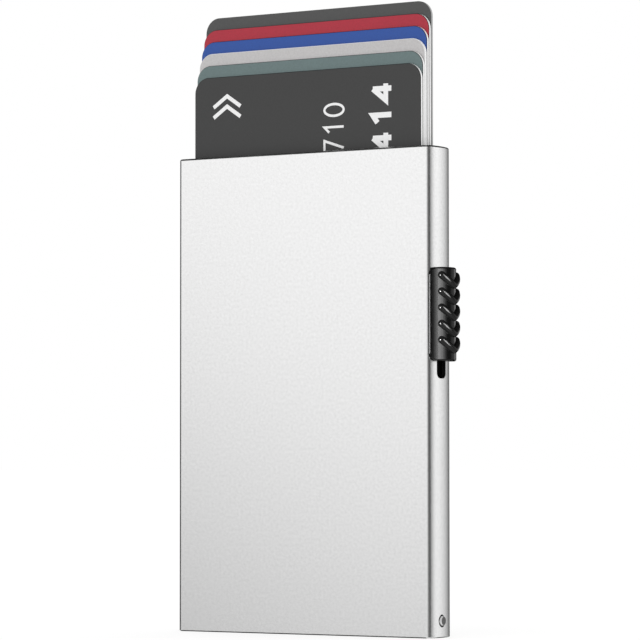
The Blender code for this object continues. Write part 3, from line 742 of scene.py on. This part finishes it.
# Each card's slot, its printed colour, the tone of its edges' bevels, partly the print's edge and partly
# painted shade in the seams between cards, and its core
CARDS = [
    ("card_charcoal", (0.047, 0.047, 0.047), 0.012, WHITE_CORE),
    ("card_slate", (0.141, 0.199, 0.199), 0.03, WHITE_CORE),
    ("card_pale_grey", (0.552, 0.54, 0.54), 0.8, WHITE_CORE),
    ("card_blue", (0.019, 0.082, 0.361), 0.01, WHITE_CORE),
    ("card_red", (0.438, 0.019, 0.042), 0.025, WHITE_CORE),
    ("card_dark_grey", (0.08, 0.08, 0.08), 0.1, GREY_CORE),
]

# The arrows that show which way a card goes in
ARROW_COUNT = 2
ARROW_X = -19.05 * MM
ARROW_REACH = 3.3 * MM
ARROW_DROP = 2.2 * MM
ARROW_MARGIN = 4.0 * MM
ARROW_PITCH = 2.1 * MM
ARROW_STROKE = 0.8 * MM

# Columns of plain digits: what they say, then in millimetres the column's place across the card,
# its margin above, and the digits' pitch, width, height and stroke
DIGIT_COLUMNS = [
    ("0741 1407 0174 4710", 4.5, 7.1, 3.66, 2.35, 4.55, 0.5),
    ("07414", 15.9, 3.7, 4.9, 3.3, 4.3, 1.1),
]

# The stripe on the rear card's back
STRIPE_MARGIN = 6.0 * MM
STRIPE_WIDTH = 9.0 * MM
STRIPE_TOP_MARGIN = 1.2 * MM

# The lines of each digit, in shares of its width and height
ZERO_STEPS = 32
ZERO_TURNS = [TURN * step / ZERO_STEPS for step in range(ZERO_STEPS + 1)]
DIGIT_LINE_SHARES = {
    "0": [[(0.5 - 0.5 * math.cos(turn), 0.5 + 0.5 * math.sin(turn)) for turn in ZERO_TURNS]],
    "1": [[(0.15, 0.75), (0.6, 1), (0.6, 0)]],
    "4": [[(0.7, 0), (0.7, 1)], [(0.72, 1), (0, 0.3), (1, 0.3)]],
    "7": [[(0, 1), (1, 1), (0.35, 0)]],
}

# A line's sharp turn reaches out no further than its half width divided by this share
MITRE_LIMIT_SHARE = 0.4


def ribbon(points, width):
    """The outline of a line of this width through points, as left and right sides."""
    left, right = [], []
    for index, (x, z) in enumerate(points):
        before = points[max(index - 1, 0)]
        after = points[min(index + 1, len(points) - 1)]
        if index in (0, len(points) - 1):
            along = Vector((after[0] - before[0], after[1] - before[1])).normalized()
            across, reach = Vector((-along.y, along.x)), width / 2
        else:
            first = Vector((x - before[0], z - before[1])).normalized()
            second = Vector((after[0] - x, after[1] - z)).normalized()
            normal = Vector((-first.y, first.x))
            across = (normal + Vector((-second.y, second.x))).normalized()
            reach = width / 2 / max(across.dot(normal), MITRE_LIMIT_SHARE)
        left.append((x + across.x * reach, z + across.y * reach))
        right.append((x - across.x * reach, z - across.y * reach))
    return left, right


def add_ribbon(build, points, width, front, back):
    """A raised line of ink on a card's face."""
    left, right = ribbon(points, width)
    rings = [
        [(ax, front, az), (bx, front, bz), (bx, back, bz), (ax, back, az)]
        for (ax, az), (bx, bz) in zip(left, right)
    ]
    add_loft(build, rings)


def add_digits(build, text, sizes, top, front, back):
    """Plain digits that read upwards: their tops point to the left of the card."""
    left, margin, pitch, width, height, stroke = (size * MM for size in sizes)
    first = top - margin - width - (len(text) - 1) * pitch
    for index, digit in enumerate(text):
        for layer, line in enumerate(DIGIT_LINE_SHARES.get(digit, [])):
            points = [
                (left + height * (1 - up), first + index * pitch + width * across)
                for across, up in line
            ]
            add_ribbon(build, points, stroke, front - layer * INK_LAYER, back)


def front_card_marks(build, top, face):
    """Arrows and two columns of plain digits on the front card's face."""
    front, back = face - INK_RISE, face + CARD_EDGE
    left, right = ARROW_X - ARROW_REACH, ARROW_X + ARROW_REACH
    for index in range(ARROW_COUNT):
        tip = top - ARROW_MARGIN - index * ARROW_PITCH
        points = [(left, tip - ARROW_DROP), (ARROW_X, tip), (right, tip - ARROW_DROP)]
        add_ribbon(build, points, ARROW_STROKE, front, back)
    for text, *sizes in DIGIT_COLUMNS:
        add_digits(build, text, sizes, top, front, back)


def rear_card_marks(build, low, high):
    """A plain dark stripe up the rear card's back."""
    left, right = low.x + STRIPE_MARGIN, low.x + STRIPE_MARGIN + STRIPE_WIDTH
    bottom, top = low.z + CARD_RADIUS, high.z - STRIPE_TOP_MARGIN
    outline = [(left, bottom), (right, bottom), (right, top), (left, top)]
    add_loft(build, [along_y(outline, high.y - CARD_EDGE), along_y(outline, high.y + INK_RISE)])


def card_rings(low, high):
    """A card's outline at four depths, with a bevel before and behind its core."""
    rings = []
    for y, inset in (
        (low.y, CARD_EDGE),
        (low.y + CARD_EDGE, 0),
        (high.y - CARD_EDGE, 0),
        (high.y, CARD_EDGE),
    ):
        left, right = low.x + inset, high.x - inset
        bottom, top = low.z + inset, high.z - inset
        radius = CARD_RADIUS - inset
        outline = rounded_rectangle(left, bottom, right, top, radius, CARD_CORNER_STEPS)
        rings.append(along_y(outline, y))
    return rings


def make_cards():
    """The six cards, with marks on the front card's face and the rear card's back."""
    bevel, core_band, ink = 1, 2, 3
    for index, (slot, colour, seam_print_and_shade_tone, core) in enumerate(CARDS):
        node = f"card_{index + 1}"
        low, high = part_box(node)
        build = bmesh.new()
        add_loft(build, card_rings(low, high), indices=[bevel, core_band, bevel])
        plain_faces = len(build.faces)
        # The bevels' tone is partly the print's own edge and partly painted shade in the seams between the
        # cards
        finishes = [card_print(slot, colour), card_edge(f"{slot}_bevel", seam_print_and_shade_tone), core]
        if index == 0:
            front_card_marks(build, high.z, low.y)
            finishes.append(WHITE_INK)
        if index == len(CARDS) - 1:
            rear_card_marks(build, low, high)
            finishes.append(DARK_INK)
        build.faces.ensure_lookup_table()
        for face in build.faces[plain_faces:]:
            face.material_index = ink
        card = mesh_object(f"{node}_printed", build, finishes, CARD_SHARP_ANGLE)
        dress(card, node, node)


# Felts

FELT_ACROSS = 60
FELT_UP = 80
NAP_DEPTH = 0.03 * MM

# How far the card's side drops at the pad's edge and one step in from it
NAP_EDGE_DROPS = (0.18 * MM, 0.05 * MM)

# Radians per step of the waves that make the nap uneven, the same in each run
NAP_WAVE_ACROSS = 37
NAP_WAVE_SHIFT = 1.3
NAP_WAVE_UP = 23


def nap(i, j):
    """The drop of the pad's soft side at one point of its grid."""
    wave = math.sin(NAP_WAVE_ACROSS * i + NAP_WAVE_SHIFT * j) * math.sin(NAP_WAVE_UP * j)
    edge = min(i, FELT_ACROSS - i, j, FELT_UP - j)
    drop = NAP_EDGE_DROPS[edge] if edge < len(NAP_EDGE_DROPS) else 0
    return NAP_DEPTH * (1 + wave) + drop


def make_felt(node, sign):
    """A felt pad: flat on the housing's wall, soft-edged and uneven towards the cards."""
    low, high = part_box(node)
    wall_y, card_y = (low.y, high.y) if sign < 0 else (high.y, low.y)
    build = bmesh.new()
    points = {}
    for side, base in ((0, wall_y), (1, card_y)):
        for j in range(FELT_UP + 1):
            for i in range(FELT_ACROSS + 1):
                x = low.x + (high.x - low.x) * i / FELT_ACROSS
                y = base + sign * side * nap(i, j)
                z = low.z + (high.z - low.z) * j / FELT_UP
                points[side, i, j] = build.verts.new((x, y, z))
    for side in (0, 1):
        for j in range(FELT_UP):
            for i in range(FELT_ACROSS):
                corners = ((i, j), (i + 1, j), (i + 1, j + 1), (i, j + 1))
                build.faces.new([points[side, *corner] for corner in corners])
    rim = [(i, 0) for i in range(FELT_ACROSS)]
    rim += [(FELT_ACROSS, j) for j in range(FELT_UP)]
    rim += [(i, FELT_UP) for i in range(FELT_ACROSS, 0, -1)]
    rim += [(0, j) for j in range(FELT_UP, 0, -1)]
    for here, after in zip(rim, rim[1:] + rim[:1]):
        corners = ((0, *here), (0, *after), (1, *after), (1, *here))
        build.faces.new([points[corner] for corner in corners])
    felt = mesh_object(f"{node}_pad", build, [FELT], FELT_SHARP_ANGLE)
    dress(felt, "case", node)


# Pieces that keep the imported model's shape


def finish_nodes():
    finishes = {
        "base_plug": GREY_PLASTIC,
        "fan_lever": GREY_PLASTIC,
        "left_guide_rail": BLACK_PLASTIC,
        "right_guide_rail": BLACK_PLASTIC,
        "push_bar": BLACK_STEEL_AND_SLOT_SHADE,
        "drive_pin": STEEL,
        "pivot_pin": STEEL,
        "slider_screw_upper": STEEL,
        "slider_screw_lower": STEEL,
    }
    for name, finish in finishes.items():
        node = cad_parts[name]
        node.data.materials.clear()
        node.data.materials.append(finish)


# Studio

# Brightness of the reflected studio: by azimuth all round, and by elevation before the front and
# beside the slider. The zone blends from the front's curve at 0 to the side's curve at 1.
STUDIO_AROUND = [
    (-180, 0.1), (-158, 0.1), (-148, 0.6), (-140, 1.0), (-84, 0.97), (-66, 0.75), (-46, 0.3),
    (-26, 0.13), (0, 0.1), (24, 0.08), (30, 0.12), (32, 0.2), (34, 0.42), (35.5, 0.68),
    (37, 0.9), (39, 1.0), (41.5, 1.03), (47, 1.03), (51.8, 0.975), (55, 0.92), (60, 0.84),
    (65.7, 0.745), (69.3, 0.66), (73.6, 0.56), (78.3, 0.36), (84, 0.13), (90, 0.07),
    (104, 0.06), (180, 0.1),
]
STUDIO_FRONT = [
    (-90, 0.03), (-18, 0.04), (-9, 0.36), (-6, 0.445), (-3.6, 0.585), (-0.7, 0.82), (1, 0.95),
    (2.7, 1.02), (4.7, 1.04), (13, 1.04), (20, 0.05), (90, 0.03),
]
STUDIO_SIDE = [
    (-90, 0.03), (-20, 0.04), (-11, 0.8), (-2, 0.86), (1, 0.91), (6, 1.02), (13, 1.02),
    (20, 0.05), (90, 0.03),
]
STUDIO_ZONE = [(-180, 0), (-70, 0), (-20, 1), (110, 1), (160, 0), (180, 0)]

# The front's curve holds as written at FRONT_AZIMUTH. It sinks by FRONT_TILT degrees per degree of
# azimuth, and no further past FRONT_END.
FRONT_AZIMUTH = -123
FRONT_END = -120
FRONT_TILT = 0.31

# Pale floor below the dark cards: by elevation, and by the direction's own x and y
PALE_HEIGHT = [(-90, 0.75), (-12, 0.75), (-8, 0), (90, 0)]
PALE_X = [(-1, 1), (-0.74, 1), (-0.64, 0), (-0.44, 0), (-0.34, 1), (1, 1)]
PALE_Y = [(-1, 1), (0.69, 1), (0.77, 0), (0.91, 0), (0.97, 1), (1, 1)]

FLOOR_HALF_WIDTH = 40.0
FLOOR_DROP = 0.02 * MM
FLOOR_TONE = 0.92
FLOOR_GLOW = 1.08
FLOOR_GLOW_SHARE = 0.72

# Lamps for the dark slider: name, the pieces they light, azimuth, elevation, distance, width,
# height and radiance
SLIDER_LAMPS = [
    ("edge_lamp", "cover", -123, 0, 0.1, 0.02, 0.08, 58),
    ("slope_lamp", "cover", -66.5, 0, 0.3, 0.055, 0.2, 3.4),
    ("ramp_lamp", "cover", -56, 0, 0.3, 0.07, 0.2, 8),
    ("strip_lamp", "cover", -42.8, 0, 0.3, 0.082, 0.2, 18),
    ("fade_lamp_1", "cover", -27.5, 0, 0.3, 0.079, 0.2, 12.5),
    ("fade_lamp_2", "cover", -14, 0, 0.3, 0.063, 0.2, 5.4),
    ("fade_lamp_3", "cover", -3, 0, 0.3, 0.052, 0.2, 1.5),
    ("tip_lamp", "ribs", -94, -7, 0.1, 0.03, 0.04, 230),
    ("streak_lamp", "ribs", -9.5, 0, 0.3, 0.12, 0.2, 35),
    ("far_lamp", "both", 78, 0, 0.3, 0.1, 0.1, 1.3),
]

# The camera's place, its turns in degrees, its lens and its sensor in millimetres
CAMERA_PLACE = (0.37302, -0.57841, 0.03313)
CAMERA_TURNS = (92.472, 0.031, 32.687)
CAMERA_LENS = 192.955
CAMERA_SENSOR = 36
CAMERA_CLIP_START = 0.01


def reflected_studio(tree):
    """The studio's brightness in a reflection's direction."""
    coordinates = tree.nodes.new("ShaderNodeTexCoord")
    split = tree.nodes.new("ShaderNodeSeparateXYZ")
    tree.links.new(coordinates.outputs["Generated"], split.inputs[0])
    x, y, z = split.outputs
    azimuth = math_node(tree, "MULTIPLY", math_node(tree, "ARCTAN2", y, x), 1 / DEGREE)
    elevation = math_node(tree, "MULTIPLY", math_node(tree, "ARCSINE", z), 1 / DEGREE)
    around = curve_node(tree, azimuth, STUDIO_AROUND)
    before_end = math_node(tree, "MINIMUM", azimuth, FRONT_END)
    tilt = math_node(tree, "MULTIPLY_ADD", before_end, FRONT_TILT, -FRONT_AZIMUTH * FRONT_TILT)
    front = curve_node(tree, math_node(tree, "ADD", elevation, tilt), STUDIO_FRONT)
    side = curve_node(tree, elevation, STUDIO_SIDE)
    rise = tree.nodes.new("ShaderNodeMix")
    rise.data_type = "FLOAT"
    tree.links.new(curve_node(tree, azimuth, STUDIO_ZONE), rise.inputs[0])
    tree.links.new(front, rise.inputs[2])
    tree.links.new(side, rise.inputs[3])
    cards = math_node(tree, "MULTIPLY", around, rise.outputs[0])
    pale = curve_node(tree, elevation, PALE_HEIGHT)
    for source, points in ((x, PALE_X), (y, PALE_Y)):
        pale = math_node(tree, "MULTIPLY", pale, curve_node(tree, source, points))
    return math_node(tree, "MAXIMUM", cards, pale)


def make_world():
    """A white background, with the studio's dark cards in reflections alone."""
    world = bpy.data.worlds.new("studio")
    bpy.context.scene.world = world
    world.use_nodes = True
    tree = world.node_tree
    tree.nodes.clear()
    rays = tree.nodes.new("ShaderNodeLightPath").outputs
    studio = white_background(tree, reflected_studio(tree))
    light = mix_shader(tree, rays["Is Glossy Ray"], white_background(tree), studio)
    direct = math_node(tree, "MAXIMUM", rays["Is Camera Ray"], rays["Is Transmission Ray"])
    output = tree.nodes.new("ShaderNodeOutputWorld")
    surface = mix_shader(tree, direct, light, white_background(tree))
    tree.links.new(surface, output.inputs["Surface"])


def make_floor():
    """A pale floor that glows towards the camera and keeps the object's shadow."""
    half = FLOOR_HALF_WIDTH
    corners = [(-half, -half), (half, -half), (half, half), (-half, half)]
    build = bmesh.new()
    build.faces.new([build.verts.new((x, y, -FLOOR_DROP)) for x, y in corners])
    finish = bpy.data.materials.new("floor")
    finish.use_nodes = True
    tree = finish.node_tree
    tree.nodes.clear()
    surface = tree.nodes.new("ShaderNodeBsdfDiffuse")
    surface.inputs["Color"].default_value = (*grey(FLOOR_TONE), 1)
    glow = tree.nodes.new("ShaderNodeEmission")
    glow.inputs["Strength"].default_value = FLOOR_GLOW
    rays = tree.nodes.new("ShaderNodeLightPath").outputs
    share = math_node(tree, "MULTIPLY", rays["Is Camera Ray"], FLOOR_GLOW_SHARE)
    output = tree.nodes.new("ShaderNodeOutputMaterial")
    mixed = mix_shader(tree, share, surface.outputs[0], glow.outputs[0])
    tree.links.new(mixed, output.inputs["Surface"])
    floor = mesh_object("floor", build, [finish])
    floor.visible_glossy = False


def softbox(name, azimuth, elevation, distance, width, height, radiance):
    """A rectangular lamp that faces the slider, from a direction given in degrees."""
    azimuth, elevation = azimuth * DEGREE, elevation * DEGREE
    level = math.cos(elevation)
    towards = Vector((math.cos(azimuth) * level, math.sin(azimuth) * level, math.sin(elevation)))
    target = Vector((HALF_WIDTH, 0, (BUTTON_LOW.z + BUTTON_HIGH.z) / 2))
    light = bpy.data.lights.new(name, "AREA")
    light.shape = "RECTANGLE"
    light.size = width
    light.size_y = height
    light.energy = radiance * math.pi * width * height
    lamp = link(bpy.data.objects.new(name, light))
    lamp.location = target + towards * distance
    lamp.rotation_euler = (lamp.location - target).to_track_quat("Z", "Y").to_euler()
    lamp.visible_camera = False
    return lamp


def make_lamps(slider, ribs):
    """The slider's lamps, each linked to the pieces that it lights."""
    receivers = {}
    for lit, pieces in (("cover", [slider]), ("ribs", [ribs]), ("both", [slider, ribs])):
        receivers[lit] = bpy.data.collections.new(f"lit_{lit}")
        for piece in pieces:
            receivers[lit].objects.link(piece)
    for name, lit, *values in SLIDER_LAMPS:
        softbox(name, *values).light_linking.receiver_collection = receivers[lit]


def make_camera():
    camera = link(bpy.data.objects.new("camera", bpy.data.cameras.new("camera")))
    camera.location = CAMERA_PLACE
    camera.rotation_euler = [turn * DEGREE for turn in CAMERA_TURNS]
    camera.data.lens = CAMERA_LENS
    camera.data.sensor_width = CAMERA_SENSOR
    camera.data.clip_start = CAMERA_CLIP_START
    bpy.context.scene.camera = camera


make_camera()
make_world()
make_floor()
slider = make_slider()
make_lamps(slider, make_ribs(slider))
make_housing()
make_side_pins()
make_cards()
make_felt("front_felt", -1)
make_felt("rear_felt", 1)
finish_nodes()

bpy.context.scene.view_settings.view_transform = "Standard"
